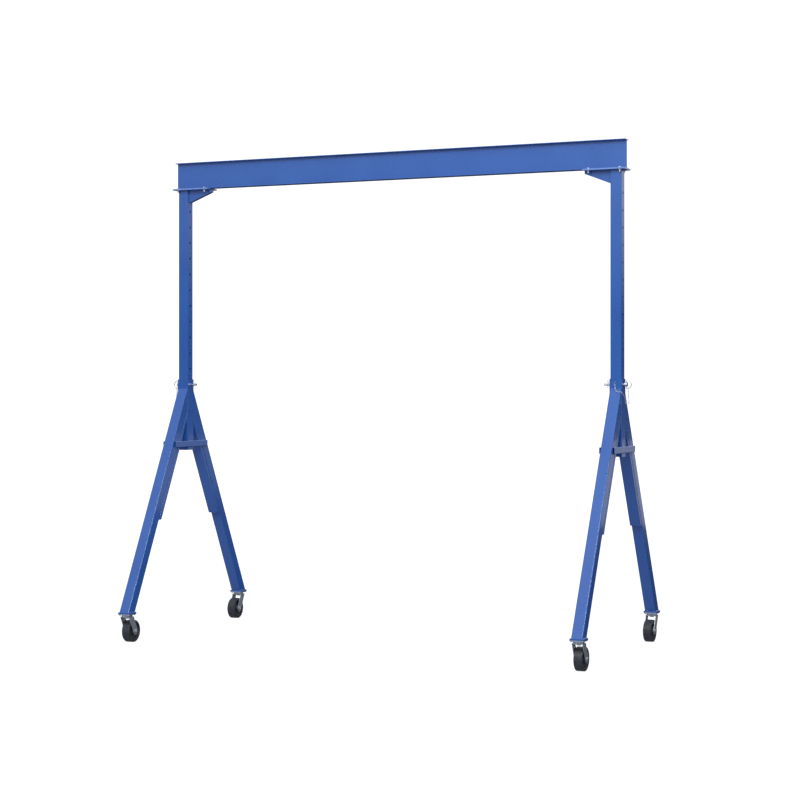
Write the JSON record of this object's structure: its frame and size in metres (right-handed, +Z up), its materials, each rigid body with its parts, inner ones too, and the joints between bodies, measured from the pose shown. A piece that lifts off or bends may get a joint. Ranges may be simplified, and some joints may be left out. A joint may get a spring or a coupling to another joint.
{
  "type": "gantry crane",
  "caption": "Free-standing height-adjustable gantry crane: I-beam on telescoping masts pinned in the sleeves of A-frame end stands, on swivel casters.",
  "frame": {"origin": "on the floor, midway between the four casters and under the middle of the beam", "axes": "+X along the beam, +Y across the end frames, away from the front casters, +Z up"},
  "size_m": [4.6282, 2.227, 4.5212],
  "materials": {
    "blue_paint": "glossy powder coat, blue",
    "zinc_steel": "bright zinc plate",
    "wheel_resin": "moulded, satin black",
    "dark_steel": "oiled"
  },
  "bodies": {
    "bridge": {"i_beam": "blue_paint", "left_mast": "blue_paint", "left_mount_plate": "blue_paint", "left_knee_bracket": "blue_paint", "left_beam_bolts": "zinc_steel", "right_mast": "blue_paint", "right_mount_plate": "blue_paint", "right_knee_bracket": "blue_paint", "right_beam_bolts": "zinc_steel"},
    "end_frames": {"left_sleeve": "blue_paint", "left_rear_leg": "blue_paint", "left_front_leg": "blue_paint", "left_rear_stiffener": "blue_paint", "left_front_stiffener": "blue_paint", "left_cross_braces": "blue_paint", "left_foot_plates": "blue_paint", "left_lock_pin": "zinc_steel", "left_hairpin": "zinc_steel", "left_safety_chain": "zinc_steel", "left_rear_caster_plate": "zinc_steel", "left_front_caster_plate": "zinc_steel", "right_sleeve": "blue_paint", "right_rear_leg": "blue_paint", "right_front_leg": "blue_paint", "right_rear_stiffener": "blue_paint", "right_front_stiffener": "blue_paint", "right_cross_braces": "blue_paint", "right_foot_plates": "blue_paint", "right_lock_pin": "zinc_steel", "right_hairpin": "zinc_steel", "right_safety_chain": "zinc_steel", "right_rear_caster_plate": "zinc_steel", "right_front_caster_plate": "zinc_steel"},
    "left_front_caster_fork": {"left_front_fork": "zinc_steel", "left_front_axle": "zinc_steel"},
    "left_front_caster_wheel": {"left_front_wheel": "wheel_resin"},
    "left_rear_caster_fork": {"left_rear_fork": "zinc_steel", "left_rear_axle": "zinc_steel"},
    "left_rear_caster_wheel": {"left_rear_wheel": "wheel_resin"},
    "right_front_caster_fork": {"right_front_fork": "zinc_steel", "right_front_axle": "zinc_steel"},
    "right_front_caster_wheel": {"right_front_wheel": "wheel_resin"},
    "right_rear_caster_fork": {"right_rear_fork": "zinc_steel", "right_rear_axle": "zinc_steel"},
    "right_rear_caster_wheel": {"right_rear_wheel": "wheel_resin"}
  },
  "joints": [
    {"name": "mast_slide", "type": "slide", "parent": "end_frames", "child": "bridge", "axis": [0, 0, 1], "range_m": [-1.6764, 0.1524]},
    {"name": "left_front_swivel", "type": "hinge", "parent": "end_frames", "child": "left_front_caster_fork", "pos_m": [-2.184, -1.05, 0.2], "axis": [0, 0, 1], "continuous": true},
    {"name": "left_front_wheel_spin", "type": "hinge", "parent": "left_front_caster_fork", "child": "left_front_caster_wheel", "pos_m": [-2.184, -0.984, 0.1016], "axis": [1, 0, 0], "continuous": true},
    {"name": "left_rear_swivel", "type": "hinge", "parent": "end_frames", "child": "left_rear_caster_fork", "pos_m": [-2.184, 1.05, 0.2], "axis": [0, 0, 1], "continuous": true},
    {"name": "left_rear_wheel_spin", "type": "hinge", "parent": "left_rear_caster_fork", "child": "left_rear_caster_wheel", "pos_m": [-2.184, 0.984, 0.1016], "axis": [1, 0, 0], "continuous": true},
    {"name": "right_front_swivel", "type": "hinge", "parent": "end_frames", "child": "right_front_caster_fork", "pos_m": [2.184, -1.05, 0.2], "axis": [0, 0, 1], "continuous": true},
    {"name": "right_front_wheel_spin", "type": "hinge", "parent": "right_front_caster_fork", "child": "right_front_caster_wheel", "pos_m": [2.184, -0.984, 0.1016], "axis": [1, 0, 0], "continuous": true},
    {"name": "right_rear_swivel", "type": "hinge", "parent": "end_frames", "child": "right_rear_caster_fork", "pos_m": [2.184, 1.05, 0.2], "axis": [0, 0, 1], "continuous": true},
    {"name": "right_rear_wheel_spin", "type": "hinge", "parent": "right_rear_caster_fork", "child": "right_rear_caster_wheel", "pos_m": [2.184, 0.984, 0.1016], "axis": [1, 0, 0], "continuous": true}
  ]
}
